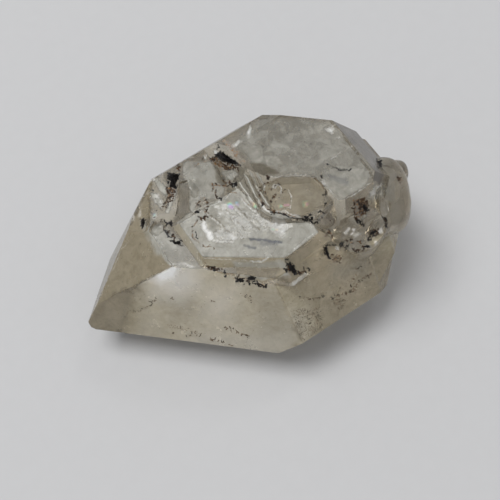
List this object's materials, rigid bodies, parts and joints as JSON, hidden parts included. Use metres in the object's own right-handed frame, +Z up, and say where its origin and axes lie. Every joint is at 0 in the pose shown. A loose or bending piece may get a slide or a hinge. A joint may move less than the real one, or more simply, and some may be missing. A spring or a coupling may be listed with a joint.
{
  "type": "double-terminated quartz crystal with carbon inclusions",
  "caption": "Loose clear quartz crystal, pointed at one end and lobed at the other, with a stepped, broken top and black grains lodged in hollows; a display specimen lying on a long face.",
  "frame": {"origin": "on the ground, under the middle of the stone's box", "axes": "+X along the crystal's long axis, towards its lobed end; +Z up from the long face it lies on"},
  "size_m": [0.039, 0.0276, 0.0176],
  "materials": {
    "quartz": "natural crystal faces, partly frosted",
    "carbon": "black, half glossy"
  },
  "bodies": {
    "root": {"quartz_crystal": "quartz", "carbon_grain_1": "carbon", "carbon_grain_2": "carbon", "carbon_grain_3": "carbon", "carbon_grain_4": "carbon", "carbon_grain_5": "carbon", "carbon_grain_6": "carbon", "carbon_grain_7": "carbon", "carbon_grain_8": "carbon", "carbon_grain_9": "carbon", "carbon_grain_10": "carbon"}
  },
  "joints": []
}
